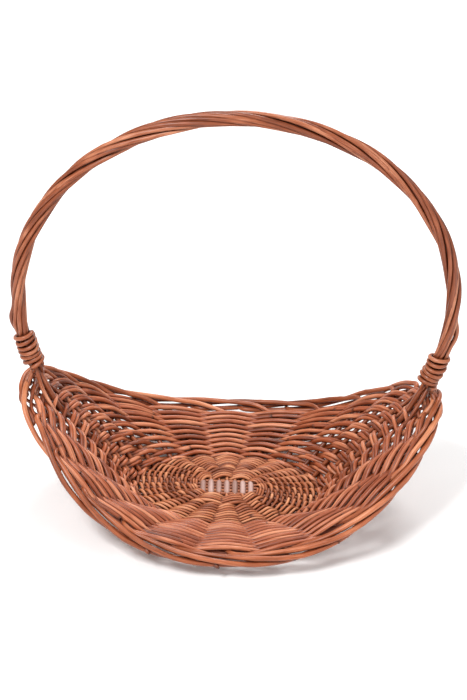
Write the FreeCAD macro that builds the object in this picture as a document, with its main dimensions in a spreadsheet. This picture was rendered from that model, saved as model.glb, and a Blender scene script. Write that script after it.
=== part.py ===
import FreeCAD, Part
import math
import os

V = FreeCAD.Vector

doc = FreeCAD.newDocument("wicker_basket")

# ---------------------------------------------------------------------------
# Driving dimensions, in millimetres. +X runs along the basket from handle foot
# to handle foot, +Y across it, +Z up, and z = 0 is the surface it stands on.
# ---------------------------------------------------------------------------
SIZES = (
    ("rim_length", 410.0),          # border centreline, end to end
    ("rim_width", 274.0),           # border centreline, side to side
    ("rim_low", 25.0),              # border height at the middle of a side
    ("rim_rise", 107.0),            # how much higher the border is at the ends
    ("rim_sweep", 2.7),             # how late the border turns up towards the ends
    ("base_length", 196.0),         # flat oval base, at its last round
    ("base_width", 116.0),
    ("base_level", 8.0),            # middle of the base weave above the surface
    ("slath_level", 12.0),          # the domed middle of the base
    ("wall_bulge", 0.4),            # how much the end walls belly outwards
    ("spoke_crowding", 5.7),        # degrees by which the spokes crowd to the ends
    ("stake_dia", 4.6),
    ("weaver_dia", 5.3),
    ("packing_dia", 4.0),           # short rods that build the ends up
    ("base_weaver_dia", 2.8),
    ("stick_dia", 3.6),             # base sticks outside the slath
    ("cross_core_dia", 7.4),        # pierced middle of a short stick
    ("cross_pitch", 8.2),
    ("long_pitch", 5.4),
    ("side_rows", 12.0),
    ("base_rounds", 9.0),
    ("slath_room", 17.0),           # from the slath to the line of the first base round
    ("border_room", 9.0),           # bare wall left under the border
    ("bow_dia", 7.0),
    ("strand_dia", 5.4),
    ("strands", 6.0),
    ("strand_lay", 240.0),          # length of one full twist of the roping
    ("handle_width", 416.0),        # handle centreline at its widest
    ("handle_spring", 234.0),       # height of the widest place
    ("handle_top", 424.0),          # handle centreline at the top
    ("foot_x", 193.0),              # handle centreline at the foot of the binding
    ("foot_level", 150.0),
    ("binding_dia", 4.2),
    ("binding_turns", 6.0),
    ("binding_pitch", 5.4),
    ("play", 0.3),                  # gap between rods that lie on each other
)
sheet = doc.addObject("Spreadsheet::Sheet", "Sizes")
for row, (alias, value) in enumerate(SIZES, start=1):
    sheet.set(f"A{row}", alias)
    sheet.set(f"B{row}", str(value))
    sheet.setAlias(f"B{row}", alias)
doc.recompute()


def size(alias):
    return float(getattr(sheet, alias))


PLAY = size("play")
SPOKES = 24                         # spoke positions round the oval
HANDLE_SPOKES = (0, SPOKES // 2)    # the two taken by the legs of the handle bow
CROSS_STICKS = 7
LONG_STICKS = SPOKES // 2 - CROSS_STICKS

# ---------------------------------------------------------------------------
# The oval surfaces that every rod follows
# ---------------------------------------------------------------------------


def spoke_angle(position):
    """Angle round the oval of a spoke position, which may be a fraction."""
    even = 2 * math.pi * position / SPOKES
    return even - math.radians(size("spoke_crowding")) * math.sin(2 * even)


def slath_edge(angle):
    """Oval just outside the slath, where the first base round runs."""
    half_length = (CROSS_STICKS - 1) * size("cross_pitch") / 2 + size("slath_room")
    half_width = (LONG_STICKS - 1) * size("long_pitch") / 2 + size("slath_room")
    return V(half_length * math.cos(angle), half_width * math.sin(angle), size("slath_level"))


def base_edge(angle):
    return V(size("base_length") / 2 * math.cos(angle),
             size("base_width") / 2 * math.sin(angle), size("base_level"))


def rim(angle):
    rise = size("rim_rise") * abs(math.cos(angle)) ** size("rim_sweep")
    return V(size("rim_length") / 2 * math.cos(angle),
             size("rim_width") / 2 * math.sin(angle), size("rim_low") + rise)


def base(share, angle):
    """Point of the base, from the slath edge (0) to the base edge (1)."""
    inner = slath_edge(angle)
    return inner + (base_edge(angle) - inner) * share


def wall(share, angle):
    """Point of the side wall, from the base edge (0) to the border (1)."""
    low = base_edge(angle)
    point = low + (rim(angle) - low) * share
    bulge = size("wall_bulge") * share * (1 - share)
    point.z += (rim(angle).z - low.z) * bulge
    return point


def up_the_wall(angle, start, end):
    """Points up the wall, close enough together to follow its belly."""
    steps = math.ceil((end - start) / 0.12)
    return [wall(start + (end - start) * n / steps, angle) for n in range(steps + 1)]


def outward(surface, share, angle):
    """Unit normal that points out of the basket."""
    step = 1e-4
    along = surface(share, angle + step) - surface(share, angle - step)
    up = surface(share + step, angle) - surface(share - step, angle)
    return unit(along.cross(up))


def unit(vector):
    return vector * (1 / vector.Length)


# ---------------------------------------------------------------------------
# Rods: a path of straight runs joined by tangent arcs, and a round section
# ---------------------------------------------------------------------------


def turn(before, corner, after, bend):
    """Half turn, arc radius and cut length of the arc that rounds a corner."""
    back = before - corner
    ahead = after - corner
    half = (math.pi - back.getAngle(ahead)) / 2
    longest_cut = 0.45 * min(back.Length, ahead.Length)
    cut = min(bend * math.tan(half), longest_cut)
    return half, cut / math.tan(half), cut


def path(points, bend):
    """Wire through the points, with an arc of radius bend or less at each one."""
    edges = []
    last = points[0]
    for before, corner, after in zip(points, points[1:], points[2:]):
        half, radius, cut = turn(before, corner, after, bend)
        to_back = unit(before - corner)
        to_ahead = unit(after - corner)
        start = corner + to_back * cut
        end = corner + to_ahead * cut
        middle = corner + unit(to_back + to_ahead) * (radius / math.cos(half) - radius)
        edges.append(Part.LineSegment(last, start).toShape())
        edges.append(Part.Arc(start, middle, end).toShape())
        last = end
    edges.append(Part.LineSegment(last, points[-1]).toShape())
    return Part.Wire(edges)


rods = []


def rod(name, points, dia_alias, bend):
    """A swept rod whose section is bound to its diameter in the sheet."""
    spine = doc.addObject("Part::Feature", name + "_path")
    spine.Shape = path(points, bend)
    section = doc.addObject("Part::Circle", name + "_section")
    section.setExpression("Radius", f"Sizes.{dia_alias} / 2")
    towards = points[1] - points[0]
    section.Placement = FreeCAD.Placement(points[0], FreeCAD.Rotation(V(0, 0, 1), towards))
    sweep = doc.addObject("Part::Sweep", name)
    sweep.Sections = [section]
    sweep.Spine = (spine, [f"Edge{n + 1}" for n in range(len(spine.Shape.Edges))])
    sweep.Solid = True
    sweep.Frenet = False
    rods.append((sweep, spine, dia_alias))
    return sweep


nodes = []


def node(label, pieces):
    """A named sub-part: one rod, or a group of separate rods."""
    if len(pieces) == 1:
        part = pieces[0]
    else:
        part = doc.addObject("Part::Compound", label + "_group")
        part.Links = pieces
    part.Label = label
    nodes.append(part)
    return part


# ---------------------------------------------------------------------------
# Slath: short sticks, pierced in the middle, threaded on to the long sticks
# ---------------------------------------------------------------------------
STICK_END = 0.80                    # share of the base where the sticks stop
STAKE_START = 0.84                  # share of the base where the stakes begin
STICK_BEND = 30.0


def stick_points(middle_out, position):
    """Half a base stick, from its straight middle out to its end."""
    angle = spoke_angle(position)
    return [middle_out, base(0.15, angle), base(STICK_END, angle)]


def mirrored(points, x=1, y=1):
    return [V(p.x * x, p.y * y, p.z) for p in points]


LEVEL = size("slath_level")
threaded_width = (LONG_STICKS - 1) * size("long_pitch") + size("stick_dia")
core_length = threaded_width + 0.36 * size("cross_core_dia")

for number in range(LONG_STICKS):
    offset = number - (LONG_STICKS - 1) / 2
    y = offset * size("long_pitch")
    straight = 0.5 * ((CROSS_STICKS - 1) * size("cross_pitch") + size("cross_core_dia"))
    right = stick_points(V(straight, y, LEVEL), offset)
    left = mirrored(right, x=-1)
    node(f"long_stick_{number + 1}",
         [rod(f"LongStick{number + 1}", left[::-1] + right, "stick_dia", STICK_BEND)])

for number in range(CROSS_STICKS):
    offset = number - (CROSS_STICKS - 1) / 2
    x = offset * size("cross_pitch")
    back = stick_points(V(x, core_length / 2 - 0.5, LEVEL), SPOKES / 4 - offset)
    front = mirrored(back, y=-1)
    tag = f"CrossStick{number + 1}"
    stick = rod(tag + "Rod", front[::-1] + back, "stick_dia", STICK_BEND)
    core = doc.addObject("Part::Cylinder", tag + "Core")
    core.setExpression("Radius", "Sizes.cross_core_dia / 2")
    core.Height = core_length
    core.Placement = FreeCAD.Placement(V(x, -core_length / 2, LEVEL),
                                       FreeCAD.Rotation(V(1, 0, 0), -90))
    whole = doc.addObject("Part::Fuse", tag + "Whole")
    whole.Base = core
    whole.Tool = stick
    slit = doc.addObject("Part::Box", tag + "Slit")
    slit.setExpression("Length", "Sizes.cross_core_dia * 2")
    slit.setExpression("Height", "Sizes.stick_dia + 2 * Sizes.play")
    slit.Width = threaded_width + 2 * PLAY
    slit.Placement = FreeCAD.Placement(
        V(x - size("cross_core_dia"), -slit.Width.Value / 2,
          LEVEL - size("stick_dia") / 2 - PLAY), FreeCAD.Rotation())
    pierced = doc.addObject("Part::Cut", tag)
    pierced.Base = whole
    pierced.Tool = slit
    node(f"cross_stick_{number + 1}", [pierced])

# ---------------------------------------------------------------------------
# Weaving: a rod passes outside one spoke and inside the next
# ---------------------------------------------------------------------------


def woven(surface, share, start, end, side_at, reach_at):
    """Points of a weaver from spoke position start to end, both between spokes.

    side_at(i) is +1 where it passes outside spoke i, -1 inside, and reach_at(i)
    the distance of its centreline from the spoke's. The corners are pushed out
    until their rounding arcs pass at exactly that distance.
    """
    stops = [start] + list(range(math.ceil(start), math.floor(end) + 1)) + [end]
    middle = [surface(share, spoke_angle(s)) for s in stops]
    lean = [outward(surface, share, spoke_angle(s)) for s in stops]
    inner = range(1, len(stops) - 1)
    reach = [0.0] + [reach_at(stops[n]) for n in inner] + [0.0]
    extra = [0.0] * len(stops)
    for _ in range(6):
        points = list(middle)
        for n in inner:
            points[n] = middle[n] + lean[n] * (side_at(stops[n]) * (reach[n] + extra[n]))
        for n in inner:
            half, radius, _ = turn(points[n - 1], points[n], points[n + 1], 3 * reach[n])
            extra[n] = radius / math.cos(half) - radius
    return points, 3 * min(reach[n] for n in inner)


END_GAP = 0.03                      # bare share of a bay between two rods of a round


def ring(tag, surface, share, pieces, first_break, dia_alias, reach_at, side_at):
    """One closed round, made of rods that end between two spokes."""
    span = SPOKES // pieces
    made = []
    for piece in range(pieces):
        start = first_break + 0.5 + piece * span
        points, bend = woven(surface, share, start + END_GAP, start + span - END_GAP,
                             side_at, reach_at)
        made.append(rod(f"{tag}Rod{piece + 1}", points, dia_alias, bend))
    return made


# Base rounds: thin rods, woven round the sticks and then round the stakes' butts.
# The first rounds take the sticks in pairs, before these are opened out.
PAIRED_ROUNDS = 3
for round_number in range(int(size("base_rounds"))):
    share = (round_number + 0.5) / size("base_rounds")
    held = size("stick_dia") if share < STICK_END else size("stake_dia")
    reach = (held + size("base_weaver_dia")) / 2 + PLAY

    def base_side(i, row=round_number):
        group = i // 2 if row < PAIRED_ROUNDS else i
        return 1 if (group + row) % 2 else -1

    pieces = ring(f"BaseRound{round_number + 1}", base, share, 2, 2 * round_number + 1,
                  "base_weaver_dia", lambda i, r=reach: r, base_side)
    node(f"base_round_{round_number + 1:02d}", pieces)

# Side rows: thicker rods, woven round the stakes and the legs of the bow
ROW_PIECES = 6
FIRST_ROW = 0.8                     # row spacings from the base edge to the first row
LEG_BUTT = 0.02                     # share of the wall where a leg of the bow begins
LEG_TOP = 0.70                      # share of the wall where it leaves the weave
wall_height = (rim(math.pi / 2) - base_edge(math.pi / 2)).Length
rows_top = 1 - size("border_room") / wall_height
row_step = rows_top / (size("side_rows") + 0.3)


def side_reach(i):
    held = size("bow_dia") if i % SPOKES in HANDLE_SPOKES else size("stake_dia")
    return (held + size("weaver_dia")) / 2 + PLAY


for row in range(int(size("side_rows"))):
    share = (row + FIRST_ROW) * row_step

    def row_side(i, row=row, share=share):
        if share > LEG_TOP and i % SPOKES in HANDLE_SPOKES:
            return 1
        return 1 if (i + row) % 2 else -1

    pieces = ring(f"SideRow{row + 1}", wall, share, ROW_PIECES, row % 4,
                  "weaver_dia", side_reach, row_side)
    node(f"side_row_{row + 1:02d}", pieces)

# Packing: short rods between the rows, which build the ends up
PACKING = ((3, 2.5), (5, 1.5), (7, 1.5))             # row below, spokes each way


def packing_side(i):
    return -1 if i % 2 else 1


for label, middle_spoke in (("packing_right", 0), ("packing_left", SPOKES // 2)):
    pieces = []
    for below, spokes in PACKING:
        share = (below - 0.5 + FIRST_ROW) * row_step
        points, bend = woven(wall, share, middle_spoke - spokes,
                             middle_spoke + spokes, packing_side, side_reach)
        pieces.append(rod(f"{label.title().replace('_', '')}Rod{below}", points,
                          "packing_dia", bend))
    node(label, pieces)

# ---------------------------------------------------------------------------
# Stakes: up the wall, then bent along the rim, where four lie in a rope
# ---------------------------------------------------------------------------
BORDER_SPACINGS = 3.7               # stake spacings that a tip runs along the rim
BORDER_STRANDS = 4
half_step = math.pi / 8             # half the turn of a border rod over half a bay
border_radius = (size("stake_dia") + 0.5) / math.sqrt(2) / math.cos(half_step)


def border_point(position, phase):
    """Point of the border rope. Phase 0 is below, 90 degrees is inside."""
    angle = spoke_angle(position)
    step = 1e-4
    along = unit(rim(angle + step) - rim(angle - step))
    down = wall(0.9, angle) - rim(angle)
    down = unit(down - along * down.dot(along))
    out = down.cross(along)
    return rim(angle) + (down * math.cos(phase) - out * math.sin(phase)) * border_radius


def stake_points(i):
    angle = spoke_angle(i)
    upright = [base(STAKE_START, angle), base_edge(angle)]
    upright += up_the_wall(angle, 0.1, 0.82)
    tip = []
    steps = int(2 * BORDER_SPACINGS)
    for n in range(steps + 1):
        tip.append(border_point(i + n / 2, 2 * math.pi * n / 2 / BORDER_STRANDS))
    end_phase = 2 * math.pi * BORDER_SPACINGS / BORDER_STRANDS
    tip.append(border_point(i + BORDER_SPACINGS, end_phase))
    return upright + tip


STAKE_BEND = 6.0
STAKE_GROUPS = (
    ("stakes_right", (-2, -1, 1, 2)),
    ("stakes_back", range(3, 10)),
    ("stakes_left", (10, 11, 13, 14)),
    ("stakes_front", range(15, 22)),
)
for label, group in STAKE_GROUPS:
    pieces = [rod(f"Stake{i % SPOKES}", stake_points(i), "stake_dia", STAKE_BEND)
              for i in group]
    node(label, pieces)

# ---------------------------------------------------------------------------
# Handle: a bow with its legs down inside the end walls, roped with six rods,
# and bound with a coil at each foot
# ---------------------------------------------------------------------------


def handle_curve():
    """Closely spaced points of the handle's centreline, foot to foot."""
    half_width = size("handle_width") / 2
    spring = size("handle_spring")
    drop = spring - size("foot_level")
    lean = half_width - size("foot_x")
    leg = []
    for n in range(24):
        below = 1 - n / 24
        leg.append(V(-half_width + lean * below ** 2.2, 0, spring - drop * below))
    arch = []
    for n in range(181):
        angle = math.pi * n / 180
        arch.append(V(-half_width * math.cos(angle), 0,
                      spring + (size("handle_top") - spring) * math.sin(angle)))
    return leg + arch + mirrored(leg[::-1], x=-1)


curve = handle_curve()
reached = [0.0]
for a, b in zip(curve, curve[1:]):
    reached.append(reached[-1] + (b - a).Length)
handle_length = reached[-1]


def along_handle(distance):
    """Point and direction of the handle's centreline at a distance along it."""
    n = 0
    while n < len(curve) - 2 and reached[n + 1] < distance:
        n += 1
    direction = unit(curve[n + 1] - curve[n])
    return curve[n] + direction * (distance - reached[n]), direction


def coil(start, end, radius, turns, first_turn):
    """Points wound round the handle, from outside to inside across the front."""
    step = math.pi / 6
    count = round(turns * 2 * math.pi / step)
    points = []
    for n in range(count + 1):
        centre, direction = along_handle(start + (end - start) * n / count)
        out = V(-direction.z, 0, direction.x)
        phase = -2 * math.pi * (first_turn + turns * n / count)
        points.append(centre + (out * math.cos(phase) + V(0, 1, 0) * math.sin(phase))
                      * (radius / math.cos(step / 2)))
    return points


leg = up_the_wall(math.pi, LEG_BUTT, LEG_TOP)
arch = [along_handle(handle_length * n / 40)[0] for n in range(41)]
bow_points = leg + arch + mirrored(leg[::-1], x=-1)
node("handle_bow", [rod("Bow", bow_points, "bow_dia", 400.0)])

STRAND_START = 2.0
twisted = handle_length - 2 * STRAND_START
strand_radius = (size("bow_dia") + size("strand_dia")) / 2 + PLAY
for number in range(int(size("strands"))):
    points = coil(STRAND_START, handle_length - STRAND_START, strand_radius,
                  twisted / size("strand_lay"), number / size("strands"))
    node(f"roping_rod_{number + 1}", [rod(f"RopingRod{number + 1}", points, "strand_dia", 60.0)])

binding_radius = strand_radius + (size("strand_dia") + size("binding_dia")) / 2 + PLAY
binding_length = size("binding_turns") * size("binding_pitch")
BINDING_START = 5.0
for label, start in (("binding_left", BINDING_START),
                     ("binding_right", handle_length - BINDING_START - binding_length)):
    points = coil(start, start + binding_length, binding_radius, size("binding_turns"), 0.0)
    node(label, [rod(label.title().replace("_", ""), points, "binding_dia", 40.0)])

# ---------------------------------------------------------------------------
# Check every object, stand the basket on z = 0, and write one file per node
# ---------------------------------------------------------------------------
doc.recompute()
for item in doc.Objects:
    if "Invalid" in item.State or "Error" in item.State:
        raise RuntimeError(f"{item.Name} did not compute: {item.State}")
for sweep, spine, dia_alias in rods:
    expected = math.pi * (size(dia_alias) / 2) ** 2 * spine.Shape.Length
    if abs(sweep.Shape.Volume - expected) > 0.01 * expected:
        raise RuntimeError(f"{sweep.Name}: volume {sweep.Shape.Volume}, expected {expected}")
for part in nodes:
    if part.Shape.isNull() or not part.Shape.isValid():
        raise RuntimeError(f"{part.Label} has no valid shape")

lowest = min(part.Shape.optimalBoundingBox().ZMin for part in nodes)
for part in nodes:
    part.Placement = FreeCAD.Placement(V(0, 0, -lowest), FreeCAD.Rotation())
doc.recompute()

os.makedirs("parts", exist_ok=True)
for part in nodes:
    part.Shape.exportStep(f"parts/{part.Label}.step")
print(f"{len(nodes)} nodes, {sum(len(part.Shape.Solids) for part in nodes)} solids, "
      f"lowest point was {lowest:.3f}")
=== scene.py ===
import math
import random

import bpy
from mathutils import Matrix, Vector
from mathutils.bvhtree import BVHTree


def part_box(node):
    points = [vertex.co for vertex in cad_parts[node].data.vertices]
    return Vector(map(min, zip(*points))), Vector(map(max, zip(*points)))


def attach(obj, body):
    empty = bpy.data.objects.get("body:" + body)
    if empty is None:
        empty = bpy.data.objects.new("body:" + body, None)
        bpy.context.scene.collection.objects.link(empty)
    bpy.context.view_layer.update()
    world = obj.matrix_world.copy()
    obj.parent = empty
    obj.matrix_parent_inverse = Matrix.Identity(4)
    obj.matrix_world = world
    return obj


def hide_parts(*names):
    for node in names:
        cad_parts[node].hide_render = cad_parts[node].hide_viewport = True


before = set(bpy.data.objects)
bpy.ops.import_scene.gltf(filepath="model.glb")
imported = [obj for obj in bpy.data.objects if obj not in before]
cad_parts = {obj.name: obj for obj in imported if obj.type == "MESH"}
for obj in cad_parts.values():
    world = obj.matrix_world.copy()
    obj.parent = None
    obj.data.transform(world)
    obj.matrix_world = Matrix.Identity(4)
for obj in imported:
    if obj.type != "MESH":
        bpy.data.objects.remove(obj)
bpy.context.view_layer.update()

# ---------------------------------------------------------------------------
# The oval form. A stake-and-strand basket has no mould: the maker sets the
# stakes round an oval base and bends them to the shape wanted, here low at
# the sides and swept up at the two ends that carry the handle.
# ---------------------------------------------------------------------------
SPOKES = 24
CROWDING = math.radians(5.7)
CORE_RADIUS = 0.0037
BORDER_RADIUS = 0.0062
RIM_SWEEP = 2.7
WALL_BULGE = 0.4
BASE_DROP = 0.004
SIDE_RISE = 0.013
END_RISE = 0.120
BASE_MORE_LENGTH = 0.0015
BASE_MORE_WIDTH = 0.0010
SLATH_BEYOND = 0.0207
SLATH_OPEN = (0.0330, 0.0172)
INNER_SHARE = -0.27

slath_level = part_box("cross_stick_4")[1].z - CORE_RADIUS
base_level = slath_level - BASE_DROP
rim_low = slath_level + SIDE_RISE
rim_high = slath_level + END_RISE
rim_half_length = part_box("stakes_right")[1].x - BORDER_RADIUS
rim_half_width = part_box("stakes_back")[1].y - BORDER_RADIUS
base_half_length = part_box("base_round_09")[1].x + BASE_MORE_LENGTH
base_half_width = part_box("base_round_09")[1].y + BASE_MORE_WIDTH
slath_half_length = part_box("cross_stick_7")[0].x + SLATH_BEYOND
slath_half_width = 0.0278


def spoke_angle(position):
    even = 2 * math.pi * position / SPOKES
    return even - CROWDING * math.sin(2 * even)


def oval(angle, half_length, half_width, level):
    return Vector((half_length * math.cos(angle), half_width * math.sin(angle), level))


def rim(angle):
    swept = abs(math.cos(angle)) ** RIM_SWEEP
    return oval(angle, rim_half_length, rim_half_width, rim_low + (rim_high - rim_low) * swept)


def base(share, angle):
    """The base from the slath, 0, to its edge, 1. Below 0 it goes in to the bars."""
    inner = oval(angle, slath_half_length, slath_half_width, slath_level)
    if share < 0:
        return inner.lerp(oval(angle, *SLATH_OPEN, slath_level), share / INNER_SHARE)
    return inner.lerp(oval(angle, base_half_length, base_half_width, base_level), share)


def wall(share, angle):
    low = oval(angle, base_half_length, base_half_width, base_level)
    point = low.lerp(rim(angle), share)
    point.z += (rim(angle).z - low.z) * WALL_BULGE * share * (1 - share)
    return point


def outward(surface, share, angle):
    step = 1e-3
    along = surface(share, angle + step) - surface(share, angle - step)
    up = surface(share + step, angle) - surface(share - step, angle)
    return along.cross(up).normalized()


# ---------------------------------------------------------------------------
# Base sticks. The oval base starts from a slath: seven short sticks, split in
# the middle and threaded on to five long ones. At the middle the short sticks
# are painted pale, a painted reflection. The sticks are opened out like the
# spokes of a wheel as the base is woven.
# ---------------------------------------------------------------------------
LONG_STICKS = 5
CROSS_STICKS = 7
LONG_PITCH = 0.0054
CROSS_PITCH = 0.0082
LONG_STRAIGHT = 0.0285
CROSS_STRAIGHT = 0.0130
STICK_SHARES = (0.15, 0.5, 0.84)
STICK_RADIUS = 0.0018
SAMPLE = 0.0020
KNOTS = (1, 3)
KNOT_PLACE = (0.05, 0.95)
KNOT_SWELL = (0.06, 0.16)
KNOT_LENGTH = 1.4


def smooth(points, step=SAMPLE):
    """An even Catmull-Rom line through the points."""
    ends = [points[0] * 2 - points[1]] + points + [points[-1] * 2 - points[-2]]
    line = []
    for a, b, c, d in zip(ends, ends[1:], ends[2:], ends[3:]):
        count = max(1, round((c - b).length / step))
        for n in range(count):
            t = n / count
            line.append(0.5 * (2 * b + (c - a) * t + (2 * a - 5 * b + 4 * c - d) * t * t
                               + (3 * b - a - 3 * c + d) * t ** 3))
    line.append(points[-1].copy())
    return line


def rod(line, butt, tip, tone, knots=None):
    """A guide line with its thickness, knots and tone, for the rod tree."""
    count = len(line)
    thickness = [butt + (tip - butt) * n / (count - 1) for n in range(count)]
    if knots:
        for _ in range(knots.randint(*KNOTS)):
            where = knots.uniform(*KNOT_PLACE) * count
            swell = knots.uniform(*KNOT_SWELL)
            for n in range(count):
                thickness[n] *= 1 + swell * math.exp(-((n - where) / KNOT_LENGTH) ** 2)
    return {"line": line, "thickness": thickness, "tone": tone}


def rod_tree():
    """Geometry nodes that turn guide lines into round rods with closed ends."""
    tree = bpy.data.node_groups.new("round rods", "GeometryNodeTree")
    for name, kind in (("Geometry", "Geometry"), ("Facets", "Int"), ("Willow", "Material")):
        tree.interface.new_socket(name, in_out="INPUT", socket_type=f"NodeSocket{kind}")
    tree.interface.new_socket("Geometry", in_out="OUTPUT", socket_type="NodeSocketGeometry")

    def add(kind, settings=None, **inputs):
        added = tree.nodes.new(kind)
        for name, value in (settings or {}).items():
            setattr(added, name, value)
        for name, value in inputs.items():
            socket = added.inputs[name.replace("_", " ")]
            if isinstance(value, bpy.types.NodeSocket):
                tree.links.new(value, socket)
            else:
                socket.default_value = value
        return added

    given = add("NodeGroupInput").outputs
    curves = add("GeometryNodeMeshToCurve", Mesh=given["Geometry"])
    length = add("GeometryNodeSplineParameter").outputs["Length"]
    measured = add("GeometryNodeStoreNamedAttribute", {"data_type": "FLOAT"},
                   Geometry=curves.outputs[0], Name="along", Value=length)
    thickness = add("GeometryNodeInputNamedAttribute", {"data_type": "FLOAT"}, Name="thickness")
    sized = add("GeometryNodeSetCurveRadius", Curve=measured.outputs[0],
                Radius=thickness.outputs["Attribute"])
    circle = add("GeometryNodeCurvePrimitiveCircle", Resolution=given["Facets"], Radius=1.0)
    place = add("GeometryNodeInputPosition").outputs[0]
    ring = add("GeometryNodeStoreNamedAttribute", {"data_type": "FLOAT_VECTOR"},
               Geometry=circle.outputs[0], Name="ring", Value=place)
    tube = add("GeometryNodeCurveToMesh", Curve=sized.outputs[0],
               Profile_Curve=ring.outputs[0], Fill_Caps=True)
    if "Scale" in tube.inputs:
        tree.links.new(thickness.outputs["Attribute"], tube.inputs["Scale"])
    shaded = add("GeometryNodeSetShadeSmooth", Geometry=tube.outputs[0])
    real = add("GeometryNodeRealizeInstances", Geometry=shaded.outputs[0])
    made = add("GeometryNodeSetMaterial", Geometry=real.outputs[0], Material=given["Willow"])
    out = add("NodeGroupOutput")
    tree.links.new(made.outputs[0], out.inputs["Geometry"])
    return tree


ROD_TREE = rod_tree()
rods_made = []


def willow_piece(name, rods, material, nodes, facets=8):
    """Rods of one kind, as one mesh that stands for the named CAD nodes."""
    mesh = bpy.data.meshes.new(name)
    points = []
    edges = []
    tones = []
    sizes = []
    ends = []
    for item in rods:
        first = len(points)
        count = len(item["line"])
        points += [tuple(p) for p in item["line"]]
        edges += [(first + n, first + n + 1) for n in range(count - 1)]
        tones += [item["tone"]] * count
        sizes += item["thickness"]
        ends += [1.0 if n in (0, count - 1) else 0.0 for n in range(count)]
    mesh.from_pydata(points, edges, [])
    for title, values in (("thickness", sizes), ("tone", tones), ("cut_end", ends)):
        mesh.attributes.new(title, "FLOAT", "POINT").data.foreach_set("value", values)
    piece = bpy.data.objects.new(name, mesh)
    bpy.context.scene.collection.objects.link(piece)
    growth = piece.modifiers.new("rods", "NODES")
    growth.node_group = ROD_TREE
    for item in ROD_TREE.interface.items_tree:
        if item.name == "Facets":
            growth[item.identifier] = facets
        if item.name == "Willow":
            growth[item.identifier] = material
    view = bpy.context.evaluated_depsgraph_get()
    grown = bpy.data.meshes.new_from_object(piece.evaluated_get(view))
    piece.modifiers.remove(growth)
    piece.data = grown
    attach(piece, "root")
    if nodes:
        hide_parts(*nodes)
    rods_made.append(piece)
    return piece


class Value:
    """A socket of a material, so that shader maths reads as Python."""

    def __init__(self, tree, socket):
        self.tree = tree
        self.socket = socket

    def do(self, operation, first, second):
        return node(self.tree, "ShaderNodeMath", {"operation": operation}, {0: first, 1: second})

    def __add__(self, other):
        return self.do("ADD", self, other)

    def __radd__(self, other):
        return self.do("ADD", other, self)

    def __sub__(self, other):
        return self.do("SUBTRACT", self, other)

    def __rsub__(self, other):
        return self.do("SUBTRACT", other, self)

    def __mul__(self, other):
        return self.do("MULTIPLY", self, other)

    def __rmul__(self, other):
        return self.do("MULTIPLY", other, self)


def node(tree, kind, settings, inputs, output=0):
    """One shader node: settings first, then values or links of its sockets."""
    made = tree.nodes.new(kind)
    for name, value in settings.items():
        if name == "stops":
            ramp = made.color_ramp
            while len(ramp.elements) < len(value):
                ramp.elements.new(0.5)
            for element, (place, colour) in zip(ramp.elements, value):
                element.position = place
                element.color = (*colour, 1.0)
        else:
            setattr(made, name, value)
    for name, value in inputs.items():
        if isinstance(value, Value):
            tree.links.new(value.socket, made.inputs[name])
        else:
            made.inputs[name].default_value = value
    return Value(tree, made.outputs[output])


TONE_SPREAD = (31.0, 17.0)
RING_SCALE = (2.4, 2.4, 2.4)
STREAKS_ALONG = 26.0
PATCH_SPREAD = 53.0
PATCHES_ALONG = 14.0
TONE_WEIGHT = 0.34
STREAK_WEIGHT = 0.78
PATCH_WEIGHT = 0.62
MIDDLE_SHADE = 0.49
# The next two numbers set the painted shade where other rods lie close.
PAINTED_SHADE_DEPTH = 1.40
PAINTED_SHADE_TINT = (1.9, 1.9, 1.4)
CUT_DEPTH = 0.8
ROUGH_RANGE = 0.22
MIX_FIRST, MIX_SECOND, MIX_RESULT = 6, 7, 2


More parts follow.
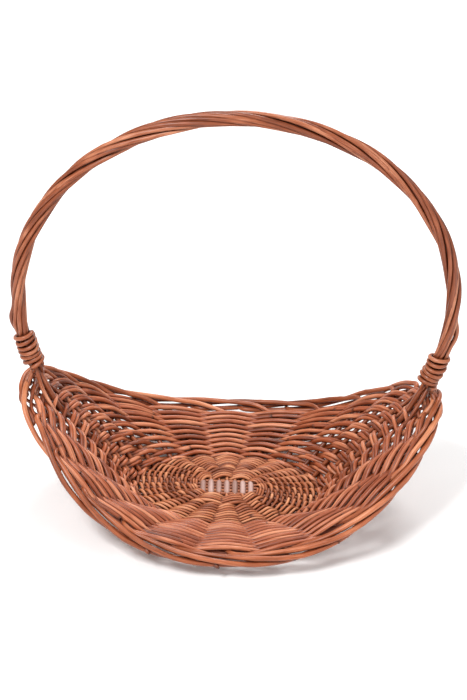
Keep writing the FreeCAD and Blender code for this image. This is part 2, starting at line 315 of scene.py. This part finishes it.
def willow(name, dark, mid, light, end, roughness=0.5, streak=1.0):
    """Buff willow: boiled and peeled, so the wood is coloured by its own bark.

    Fine streaks run along the rod, each rod has its own tone, and cut ends are
    darker. Places shut in by other rods get painted shade. The surface has a soft gloss.
    """
    material = bpy.data.materials.new(name)
    material.use_nodes = True
    tree = material.node_tree
    surface = tree.nodes["Principled BSDF"]

    def read(title, output):
        return node(tree, "ShaderNodeAttribute", {"attribute_name": title}, {}, output)

    ring = read("ring", "Vector")
    along = read("along", "Fac")
    tone = read("tone", "Fac")
    cut = read("cut_end", "Fac")
    lengthways = node(tree, "ShaderNodeCombineXYZ", {},
                      {0: tone * TONE_SPREAD[0], 1: tone * TONE_SPREAD[1],
                       2: along * STREAKS_ALONG})
    round_rod = node(tree, "ShaderNodeVectorMath", {"operation": "MULTIPLY"},
                     {0: ring, 1: RING_SCALE})
    grain_place = node(tree, "ShaderNodeVectorMath", {"operation": "ADD"},
                       {0: round_rod, 1: lengthways})
    streaks = node(tree, "ShaderNodeTexNoise", {}, {"Vector": grain_place, "Scale": 2.2,
                                                    "Detail": 5.0, "Roughness": 0.62})
    patch_place = node(tree, "ShaderNodeCombineXYZ", {},
                       {0: tone * PATCH_SPREAD, 2: along * PATCHES_ALONG})
    patches = node(tree, "ShaderNodeTexNoise", {}, {"Vector": patch_place, "Scale": 1.6,
                                                    "Detail": 2.0})
    shade = (tone * TONE_WEIGHT + streaks * (STREAK_WEIGHT * streak) + patches * PATCH_WEIGHT
             + (MIDDLE_SHADE - TONE_WEIGHT / 2 - STREAK_WEIGHT / 2 * streak - PATCH_WEIGHT / 2))
    colour = node(tree, "ShaderNodeValToRGB",
                  {"stops": ((0.12, dark), (0.48, mid), (0.85, light))}, {"Fac": shade})
    # Painted shade: a darker colour mixed in where other rods lie close.
    painted_shade_colour = (*(part * tint for part, tint in zip(dark, PAINTED_SHADE_TINT)), 1.0)
    with_painted_shade = node(tree, "ShaderNodeMix", {"data_type": "RGBA"},
                   {"Factor": read("stain", "Fac") * PAINTED_SHADE_DEPTH, MIX_FIRST: colour,
                    MIX_SECOND: painted_shade_colour}, MIX_RESULT)
    aged = node(tree, "ShaderNodeMix", {"data_type": "RGBA"},
                {"Factor": cut * CUT_DEPTH, MIX_FIRST: with_painted_shade, MIX_SECOND: (*end, 1.0)},
                MIX_RESULT)
    tree.links.new(aged.socket, surface.inputs["Base Color"])
    rough = roughness + ROUGH_RANGE * (streaks - 0.5)
    tree.links.new(rough.socket, surface.inputs["Roughness"])
    bump = node(tree, "ShaderNodeBump", {}, {"Strength": 0.35, "Distance": 0.0004,
                                             "Height": streaks}, "Normal")
    tree.links.new(bump.socket, surface.inputs["Normal"])
    surface.inputs["Coat Weight"].default_value = 0.07
    surface.inputs["Coat Roughness"].default_value = 0.38
    surface.inputs["Specular IOR Level"].default_value = 0.4
    return material


base_willow = willow("base_willow", (0.060, 0.010, 0.002), (0.395, 0.108, 0.036),
                     (0.78, 0.36, 0.18), (0.05, 0.02, 0.01))
# The pale colour of the slath bars is a painted reflection of a glossy finish.
painted_reflection_willow = willow("painted_reflection_willow", (0.12, 0.055, 0.040), (0.36, 0.205, 0.17),
                     (0.58, 0.40, 0.36), (0.2, 0.12, 0.08), 0.6)

chance = random.Random(11)


def stick_half(middle, position):
    angle = spoke_angle(position)
    return [middle] + [base(share, angle) for share in STICK_SHARES]


def mirror(points, x=1, y=1):
    return [Vector((p.x * x, p.y * y, p.z)) for p in points]


long_rods = []
for number in range(LONG_STICKS):
    offset = number - LONG_STICKS // 2
    right = stick_half(Vector((LONG_STRAIGHT, offset * LONG_PITCH, slath_level)), offset)
    left = mirror(right, x=-1)
    long_rods.append(rod(smooth(left[::-1] + right), STICK_RADIUS, STICK_RADIUS * 0.9,
                         chance.random(), chance))
willow_piece("long_sticks", long_rods, base_willow,
             [f"long_stick_{n}" for n in range(1, LONG_STICKS + 1)])

short_rods = []
bars = []
BAR_HALF = 0.0120
BAR_STEPS = 12
BAR_END = 12.4
BAR_TIP = 0.02
bar_places = range(-BAR_STEPS, BAR_STEPS + 1)
for number in range(CROSS_STICKS):
    offset = number - CROSS_STICKS // 2
    x = offset * CROSS_PITCH
    back = stick_half(Vector((x, CROSS_STRAIGHT, slath_level)), SPOKES / 4 - offset)
    line = smooth(mirror(back, y=-1)[::-1] + back)
    short_rods.append(rod(line, STICK_RADIUS, STICK_RADIUS, chance.random()))
    half = BAR_HALF * chance.uniform(0.94, 1.04)
    line = [Vector((x, half * n / BAR_STEPS, slath_level)) for n in bar_places]
    bar = rod(line, 1.0, 1.0, chance.uniform(0.2, 0.9))
    width = CORE_RADIUS * chance.uniform(0.80, 0.93)
    bar["thickness"] = [width * math.sqrt(max(BAR_TIP, 1 - abs(n / BAR_END) ** 5))
                        for n in bar_places]
    bars.append(bar)
willow_piece("short_sticks", short_rods, base_willow, [])
# The bars carry the painted reflection at the middle of the slath.
willow_piece("slath", bars, painted_reflection_willow,
             [f"cross_stick_{n}" for n in range(1, CROSS_STICKS + 1)], facets=16)

# ---------------------------------------------------------------------------
# Base weave. Thin rods are worked in pairs, one over and one under each stick,
# and cross between the sticks. The last rounds also hold the stakes' butts.
# ---------------------------------------------------------------------------
BASE_ROUNDS = 9
INNER_ROUNDS = 3
PAIR_RADIUS = 0.0016
STAKES_FROM = 0.8
STAKE_BUTT_RADIUS = 0.0023
PAIR_LAG = 1.4
ROUND_OVERLAP = 0.6
ROUND_SWAY = 0.0055
END_SWELL = 0.28
POINTS_PER_SPOKE = 7

base_rods = []
for number in range(-INNER_ROUNDS, BASE_ROUNDS):
    if number < 0:
        share = INNER_SHARE * (-number - 0.15) / INNER_ROUNDS
    else:
        share = (number + 0.5) / BASE_ROUNDS
    held = STICK_RADIUS if share < STAKES_FROM else STAKE_BUTT_RADIUS
    reach = held + PAIR_RADIUS
    group = 2 if number < 1 else 1
    start = chance.uniform(0, SPOKES)
    for strand in (0, 1):
        line = []
        thick = PAIR_RADIUS * chance.uniform(0.9, 1.12)
        steps = SPOKES * POINTS_PER_SPOKE
        for n in range(steps + 1):
            position = start + strand * PAIR_LAG + (SPOKES + ROUND_OVERLAP) * n / steps
            angle = spoke_angle(position)
            twist = math.pi * ((position - 0.5 * (group - 1)) / group + number + strand)
            sway = ROUND_SWAY * math.sin(position * 1.7 + number) / BASE_ROUNDS
            middle = base(share + sway, angle)
            across = (base(share + 0.02, angle) - middle).normalized()
            out = outward(base, share, angle)
            line.append(middle + out * (reach * math.cos(twist))
                        + across * (PAIR_RADIUS * 1.05 * math.sin(twist)))
        thin_rod = rod(line, thick * 1.1, thick * 0.8, chance.random(), chance)
        for n, point in enumerate(line):
            thin_rod["thickness"][n] *= 1 + END_SWELL * (point.x / base_half_length) ** 2
        base_rods.append(thin_rod)
willow_piece("base_weave", base_rods, base_willow,
             [f"base_round_{n:02d}" for n in range(1, BASE_ROUNDS + 1)], facets=7)

# ---------------------------------------------------------------------------
# Stakes and border. Stakes are pushed in beside the base sticks, bent up, and
# at the top bent down in turn into a rolled border: four tips always lie in
# it like the strands of a rope, and each tip is cut off outside.
# ---------------------------------------------------------------------------
STAKE_RADIUS = 0.0023
ROPE_RADIUS = 0.0046
BORDER_SWELL = 1.20
LAY_BAYS = 3.6
BORDER_STRANDS = 4
STAKE_IN_BASE = (0.84, 0.98)
STAKE_IN_WALL = (0.05, 0.16, 0.28, 0.4, 0.52, 0.64, 0.74)
LAID_FROM = 0.5
LAID_STEPS = 10
TIP_AWAY = (0.35, 1, -0.25)
CUT_SLOPE = ((1, 0.35), (2, 0.75))

stake_willow = willow("stake_willow", (0.060, 0.009, 0.0016), (0.385, 0.098, 0.032),
                      (0.74, 0.32, 0.165), (0.025, 0.010, 0.006), 0.40, 1.3)


def border_point(position, phase, reach=ROPE_RADIUS):
    angle = spoke_angle(position)
    step = 1e-3
    along = (rim(angle + step) - rim(angle - step)).normalized()
    down = wall(0.9, angle) - rim(angle)
    down = (down - along * down.dot(along)).normalized()
    out = down.cross(along)
    return rim(angle) + (down * math.cos(phase) - out * math.sin(phase)) * reach


def stake_line(i):
    angle = spoke_angle(i)
    points = [base(share, angle) for share in STAKE_IN_BASE]
    points += [wall(share, angle) for share in STAKE_IN_WALL]
    lean = chance.uniform(0.10, 0.22)
    points.append(wall(0.85, spoke_angle(i + lean)))
    bays = LAY_BAYS + chance.uniform(-0.15, 0.35)
    for n in range(LAID_STEPS + 1):
        run = LAID_FROM + (bays - LAID_FROM) * n / LAID_STEPS
        points.append(border_point(i + run, math.pi * 2 / BORDER_STRANDS * run,
                                   ROPE_RADIUS * chance.uniform(0.90, 1.12)))
    last = points[-1]
    end_angle = spoke_angle(i + bays)
    away = oval(end_angle, *TIP_AWAY).normalized()
    free = 0.25 + 0.75 * math.sin(end_angle) ** 2
    points.append(last + (last - points[-2]).normalized() * chance.uniform(0.010, 0.015) * free
                  + away * chance.uniform(0.008, 0.0125) * free)
    return smooth(points)


def stake_rod(i):
    stake = rod(stake_line(i), STAKE_RADIUS * chance.uniform(1.0, 1.06),
                STAKE_RADIUS * chance.uniform(0.86, 0.96), chance.random(), chance)
    count = len(stake["line"])
    for n in range(count):
        share = min(1.0, max(0.0, (n / count - 0.3) / 0.2))
        stake["thickness"][n] *= 1 + (BORDER_SWELL - 1) * share
    for back, slope in CUT_SLOPE:
        stake["thickness"][-back] *= slope
    return stake


STAKE_GROUPS = (
    ("stakes_right", (-2, -1, 1, 2)),
    ("stakes_back", range(3, 10)),
    ("stakes_left", (10, 11, 13, 14)),
    ("stakes_front", range(15, 22)),
)
for label, group in STAKE_GROUPS:
    rods = [stake_rod(i) for i in group]
    willow_piece(label.replace("stakes", "border_stakes"), rods, stake_willow,
                 [label], facets=10)

# ---------------------------------------------------------------------------
# Side weave. Thicker rods go in and out between the stakes, row on row. The
# high ends are built up with short packing rods, laid in between the rows.
# ---------------------------------------------------------------------------
WEAVER_RADIUS = 0.00240
BOW_RADIUS = 0.0035
SIDE_ROWS = 20
LEG_TOP = 0.70
PRESSED = 0.86
BORDER_ROOM = 0.0125
END_STRANDS = 44
END_ROWS_FROM = 0.45
END_ROOM_LOST = 0.45
FIRST_STRAND = 0.6
FIRST_ROW = 0.55
TOP_ROW_GAP = 0.1
PACKED_ROOM = 2.4
PACKED_PITCH = 1.15
WEAVE_POINTS_PER_SPOKE = 14
WEAVE_SWAY = 0.0035
PACKING_SWAY = 0.003
HALF_OVERLAP = 0.1

side_willow = willow("side_willow", (0.050, 0.007, 0.0012), (0.350, 0.080, 0.026),
                     (0.74, 0.31, 0.165), (0.04, 0.015, 0.008), 0.42, 1.3)


def side_offset(position, sides):
    """Distance from the wall's middle at a place between two spokes."""
    low = math.floor(position)
    blend = (1 - math.cos(math.pi * (position - low))) / 2
    reach = []
    for i in (low, low + 1):
        held = BOW_RADIUS if i % (SPOKES // 2) == 0 else STAKE_RADIUS
        reach.append(sides(i) * (held + WEAVER_RADIUS) * PRESSED)
    return reach[0] + (reach[1] - reach[0]) * blend


def end_pull(angle):
    """0 along the sides, 1 at the two ends, where the rows part."""
    near = (abs(math.cos(angle)) - END_ROWS_FROM) / (1 - END_ROWS_FROM)
    near = min(1.0, max(0.0, near))
    return near * near * (3 - 2 * near)


def top_share(angle):
    room = BORDER_ROOM * (1 - END_ROOM_LOST * end_pull(angle))
    return 1 - room / (rim(angle) - wall(0, angle)).length


def height(level, strand, angle):
    """Share of the wall, from a row's place at the sides and at the ends."""
    pull = end_pull(angle)
    return top_share(angle) * (level + ((strand + FIRST_STRAND) / END_STRANDS - level) * pull)


def side_line(level, strand, start, end, sides, waver):
    line = []
    steps = round((end - start) * WEAVE_POINTS_PER_SPOKE)
    for n in range(steps + 1):
        position = start + (end - start) * n / steps
        angle = spoke_angle(position)
        share = height(level + waver(position), strand, angle)
        out = outward(wall, share, angle)
        line.append(wall(share, angle) + out * side_offset(position, sides))
    return line


def swaying(size):
    drift = [chance.uniform(0, 6.28) for _ in range(3)]
    return lambda position: size * (math.sin(position * 0.9 + drift[0])
                                    + 0.8 * math.sin(position * 2.3 + drift[1])
                                    + 0.5 * math.sin(position * 5.1 + drift[2]))


def strand_of(row):
    """A row's place among the strands at the ends: two packed after each two."""
    return row + PACKED_ROOM * (row // 2)


side_rods = []
for row in range(SIDE_ROWS):
    level = (row + FIRST_ROW) / (SIDE_ROWS + TOP_ROW_GAP)
    start = chance.uniform(0, SPOKES)

    def row_sides(i, row=row, level=level):
        if level > LEG_TOP and i % (SPOKES // 2) == 0:
            return 1
        return 1 if (i + row) % 2 else -1

    for half in (0, 1):
        begin = start + half * SPOKES / 2
        line = side_line(level, strand_of(row), begin, begin + SPOKES / 2 + HALF_OVERLAP,
                         row_sides, swaying(WEAVE_SWAY))
        butt = WEAVER_RADIUS * chance.uniform(0.98, 1.12)
        side_rods.append(rod(line, butt, butt * chance.uniform(0.78, 0.92), chance.random(),
                             chance))
willow_piece("side_weave", side_rods, side_willow,
             [f"side_row_{n:02d}" for n in range(1, 13)], facets=8)

for label, middle_spoke in (("packing_right", 0), ("packing_left", SPOKES // 2)):
    rods = []
    for pair in range(1, SIDE_ROWS // 2 + 1):
        for strand in (0, 1):
            row = 2 * pair - 1 + 0.5
            spokes = chance.uniform(2.3, 4.4)
            level = (row + 0.1 + 0.9 * strand / 2) / (SIDE_ROWS + TOP_ROW_GAP)
            place = strand_of(2 * pair - 1) + PACKED_PITCH * (1 + strand)
            line = side_line(level, place, middle_spoke - spokes, middle_spoke + spokes,
                             lambda i, strand=strand: 1 if (i + 1 + strand) % 2 else -1,
                             swaying(PACKING_SWAY))
            butt = WEAVER_RADIUS * chance.uniform(0.86, 1.02)
            rods.append(rod(line, butt, butt * 0.85, chance.random(), chance))
    willow_piece(label.replace("packing", "end_packing"), rods, side_willow,
                 [label])

# ---------------------------------------------------------------------------
# Handle. A stout bow has its legs pushed down inside the end walls. Rods as
# long as the arch are twisted round it, and their thin ends fan out below
# the binding, over the border and back into the weave.
# ---------------------------------------------------------------------------
STRANDS = 8
STRAND_RADIUS = 0.0023
CORE_SLIM = 0.0030
STRAND_LAY = 0.240
LOOP_RISE = 0.0042
LOOP_AT = 0.060
LOOP_WIDTH = 0.011
ARCH_EASE = 0.0022
SPRING_RISE = 0.222
FOOT_RISE = 0.138
FOOT_X = 0.193
LEG_BEND = 2.2
LEG_POINTS = 24
ARCH_POINTS = 180
STRAND_POINTS = 90
STRAND_SAMPLE = 0.0025
FAN_SHIFT = 5

handle_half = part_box("handle_bow")[1].x - BOW_RADIUS + ARCH_EASE
handle_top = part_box("handle_bow")[1].z - BOW_RADIUS + ARCH_EASE
spring = slath_level + SPRING_RISE
foot_level = slath_level + FOOT_RISE

handle_willow = willow("handle_willow", (0.042, 0.006, 0.001), (0.275, 0.066, 0.021),
                       (0.72, 0.32, 0.18), (0.04, 0.015, 0.008), 0.38, 1.3)


def handle_curve():
    drop = spring - foot_level
    leg = []
    for n in range(LEG_POINTS):
        below = 1 - n / LEG_POINTS
        leg.append(Vector((-handle_half + (handle_half - FOOT_X) * below ** LEG_BEND, 0,
                           spring - drop * below)))
    arch = []
    for n in range(ARCH_POINTS + 1):
        angle = math.pi * n / ARCH_POINTS
        arch.append(Vector((-handle_half * math.cos(angle), 0,
                            spring + (handle_top - spring) * math.sin(angle))))
    return leg + arch + mirror(leg[::-1], x=-1)


curve = handle_curve()
reached = [0.0]
for a, b in zip(curve, curve[1:]):
    reached.append(reached[-1] + (b - a).length)
handle_length = reached[-1]


def along_handle(distance):
    n = 0
    while n < len(curve) - 2 and reached[n + 1] < distance:
        n += 1
    direction = (curve[n + 1] - curve[n]).normalized()
    return curve[n] + direction * (distance - reached[n]), direction


def wound(distance, turns, radius):
    """Point wound round the handle, outside to inside across the front."""
    centre, direction = along_handle(distance)
    out = Vector((-direction.z, 0, direction.x))
    phase = -2 * math.pi * turns
    return centre + (out * math.cos(phase) + Vector((0, 1, 0)) * math.sin(phase)) * radius


def slimness(distance):
    """1 along the handle, falling towards both feet, where rods are thin."""
    near = min(distance, handle_length - distance)
    return 0.86 + 0.14 * min(1.0, max(0.0, (near - 0.02) / 0.10))


leg = [wall(0.02 + 0.68 * n / 6, math.pi) for n in range(7)]
arch = [along_handle(handle_length * n / 40)[0] for n in range(41)]
bow_line = smooth(leg + arch + mirror(leg[::-1], x=-1))
bow = rod(bow_line, CORE_SLIM, CORE_SLIM * 0.96, 0.45)
willow_piece("handle_bow", [bow], handle_willow, ["handle_bow"], facets=12)

FANS = (
    ((0.0090, -0.010, -0.016), (0.0110, -0.024, -0.030), (-0.0100, -0.036, -0.048),
     (-0.0250, -0.042, -0.059)),
    ((0.0100, 0.008, -0.016), (0.0120, 0.022, -0.030), (-0.0090, 0.034, -0.046),
     (-0.0240, 0.040, -0.057)),
    ((-0.0060, -0.009, -0.020), (-0.0160, -0.016, -0.036), (-0.0260, -0.020, -0.052)),
    ((-0.0060, 0.009, -0.020), (-0.0160, 0.016, -0.036), (-0.0260, 0.020, -0.052)),
    ((0.0100, -0.003, -0.014), (0.0150, 0.008, -0.028), (-0.0030, 0.016, -0.044),
     (-0.0250, 0.021, -0.059)),
    ((-0.0080, 0.002, -0.020), (-0.0180, 0.004, -0.036), (-0.0290, 0.006, -0.052)),
    ((0.0110, -0.006, -0.014), (0.0150, -0.014, -0.030), (-0.0030, -0.020, -0.046),
     (-0.0250, -0.024, -0.061)),
    ((0.0110, 0.002, -0.014), (0.0160, -0.002, -0.030), (-0.0020, -0.005, -0.046),
     (-0.0250, -0.007, -0.061)),
)


def fan(side, number):
    """Where a strand goes below the binding, from the foot of the handle."""
    foot = Vector((side * FOOT_X, 0, foot_level))
    return [foot + Vector((side * x, y, z)) for x, y, z in FANS[number]]


strand_rods = []
for number in range(STRANDS):
    line = []
    loose = chance.uniform(0, 6.28)
    for n in range(STRAND_POINTS + 1):
        distance = handle_length * n / STRAND_POINTS
        slim = slimness(distance)
        radius = (CORE_SLIM + STRAND_RADIUS) * slim
        radius += 0.0006 * math.sin(distance * 37 + loose)
        wander = 0.28 * math.sin(distance * 15 + loose) + 0.12 * math.sin(distance * 41 + loose)
        turns = distance / STRAND_LAY + (number + wander) / STRANDS
        near = min(distance, handle_length - distance)
        outside = max(0.0, math.cos(2 * math.pi * turns)) ** 6
        radius += LOOP_RISE * outside * math.exp(-((near - LOOP_AT) / LOOP_WIDTH) ** 2)
        line.append(wound(distance, turns, radius))
    line = smooth(fan(-1, number)[::-1] + line + fan(1, (number + FAN_SHIFT) % STRANDS),
                  STRAND_SAMPLE)
    strand = rod(line, 1.0, 1.0, chance.random(), chance)
    far = len(line) - 1
    for n in range(far + 1):
        slim = 0.70 + 0.30 * min(1.0, min(n, far - n) / 60)
        taper = (far - n if number % 2 else n) / far
        strand["thickness"][n] *= STRAND_RADIUS * slim * (1.12 - 0.24 * taper)
    strand_rods.append(strand)
willow_piece("roping", strand_rods, handle_willow,
             [f"roping_rod_{n}" for n in range(1, 7)], facets=12)

# ---------------------------------------------------------------------------
# Bindings. One thin whole rod is wound about six times round each foot, over
# the roping, to hold the strands together where they leave the handle.
# ---------------------------------------------------------------------------
TURNS = 6.3
BINDING_PITCH = 0.0056
BINDING_RADIUS = 0.0022
POINTS_PER_TURN = 24
BINDINGS = (
    ("binding_left", 0.006, 1),
    ("binding_right", handle_length + 0.003, -1),
)

for label, start, side in BINDINGS:
    length = TURNS * BINDING_PITCH
    line = []
    steps = round(TURNS * POINTS_PER_TURN)
    for n in range(steps + 1):
        distance = start + side * length * n / steps
        grip = (CORE_SLIM + 2 * STRAND_RADIUS) * slimness(distance) + BINDING_RADIUS
        grip *= 1 + 0.05 * math.sin(n * 0.19 + start * 9) + 0.03 * math.sin(n * 0.7)
        slip = 0.0011 * math.sin(n * 0.31 + start * 5)
        line.append(wound(distance + slip, TURNS * n / steps * side + 0.2, grip))
    coil = rod(line, BINDING_RADIUS * 1.08, BINDING_RADIUS * 0.92, 0.6)
    willow_piece(label, [coil], handle_willow, [label], facets=10)

# ---------------------------------------------------------------------------
# Painted shade. Buff willow is coloured by its own bark in the boiling tank;
# places where rods lie close are then darkened with painted shade.
# ---------------------------------------------------------------------------
SHADE_REACH = 0.011
SHADE_LEAN = 1.2
OFF_SURFACE = 0.0002

corners = []
facets = []
for piece in rods_made:
    first = len(corners)
    corners += [vertex.co.copy() for vertex in piece.data.vertices]
    facets += [[first + n for n in face.vertices] for face in piece.data.polygons]
all_rods = BVHTree.FromPolygons(corners, facets)


def closeness(vertex):
    """How far a place on a rod is shut in by other rods, from 0 to 1."""
    side = vertex.normal.orthogonal().normalized() * SHADE_LEAN
    across = vertex.normal.cross(side)
    start = vertex.co + vertex.normal * OFF_SURFACE
    leans = (Vector(), side, -side, across, -across)
    shut = 0.0
    for lean in leans:
        reach = all_rods.ray_cast(start, (vertex.normal + lean).normalized(), SHADE_REACH)[3]
        if reach is not None:
            shut += 1 - reach / SHADE_REACH
    return shut / len(leans)


# Closeness to other rods, stored on each point for the painted shade in the materials.
for piece in rods_made:
    stain = piece.data.attributes.new("stain", "FLOAT", "POINT")
    stain.data.foreach_set("value", [closeness(vertex) for vertex in piece.data.vertices])

# ---------------------------------------------------------------------------
# Studio. A plain pale floor and a pale surround, lit by a key lamp in front, a
# weaker one to fill the shade and one behind for the far edge, all soft.
# ---------------------------------------------------------------------------
FLOOR = 40.0
FLOOR_COLOUR = (0.90, 0.90, 0.90, 1)
SURROUND_COLOUR = (1.0, 0.99, 0.98, 1)
SURROUND_STRENGTH = 0.48

floor_mesh = bpy.data.meshes.new("floor")
floor_mesh.from_pydata([(-FLOOR, -FLOOR, 0), (FLOOR, -FLOOR, 0), (FLOOR, FLOOR, 0),
                        (-FLOOR, FLOOR, 0)], [], [(0, 1, 2, 3)])
floor = bpy.data.objects.new("floor", floor_mesh)
bpy.context.scene.collection.objects.link(floor)
floor_paint = bpy.data.materials.new("floor_paint")
floor_paint.use_nodes = True
floor_surface = floor_paint.node_tree.nodes["Principled BSDF"]
floor_surface.inputs["Base Color"].default_value = FLOOR_COLOUR
floor_surface.inputs["Roughness"].default_value = 0.9
floor_mesh.materials.append(floor_paint)

world = bpy.data.worlds.new("studio")
bpy.context.scene.world = world
world.use_nodes = True
surround = world.node_tree.nodes["Background"]
surround.inputs["Color"].default_value = SURROUND_COLOUR
surround.inputs["Strength"].default_value = SURROUND_STRENGTH


def lamp(name, place, target, side, watts):
    light = bpy.data.lights.new(name, "AREA")
    light.size = side
    light.energy = watts
    holder = bpy.data.objects.new(name, light)
    holder.location = place
    holder.rotation_euler = (Vector(target) - Vector(place)).to_track_quat("-Z", "Y").to_euler()
    bpy.context.scene.collection.objects.link(holder)


middle = (0, 0, 0.15)
lamp("key", (-0.9, -1.3, 2.1), middle, 0.6, 60)
lamp("fill", (1.5, -0.9, 1.3), middle, 1.1, 15)
lamp("rim_lamp", (0.3, 1.6, 1.8), middle, 0.7, 30)

# ---------------------------------------------------------------------------
# Camera. It stands in front and above with a long lens, turned a little to
# one side and rolled a touch, and looks at the middle of the basket.
# ---------------------------------------------------------------------------
ELEVATION = math.radians(33)
DISTANCE = 1.80
YAW = 0.021
ROLL = 0.048
LENS = 92.57
AIM_RISE = 0.050
CENTRE_RISE = 0.108

centre = Vector((0, 0, slath_level + CENTRE_RISE))
towards_camera = Vector((-math.sin(YAW) * math.cos(ELEVATION),
                         -math.cos(YAW) * math.cos(ELEVATION), math.sin(ELEVATION)))
place = centre + towards_camera * DISTANCE
rightward = Vector((math.cos(YAW), -math.sin(YAW), 0))
aim = centre + towards_camera.cross(rightward) * AIM_RISE
look = (aim - place).to_track_quat("-Z", "Y")
bpy.context.scene.view_settings.view_transform = "Standard"
camera_data = bpy.data.cameras.new("camera")
camera_data.lens = LENS
camera_data.sensor_width = 36
camera = bpy.data.objects.new("camera", camera_data)
camera.location = place
camera.rotation_euler = look.to_euler()
camera.rotation_euler.rotate_axis("Z", ROLL)
bpy.context.scene.collection.objects.link(camera)
bpy.context.scene.camera = camera
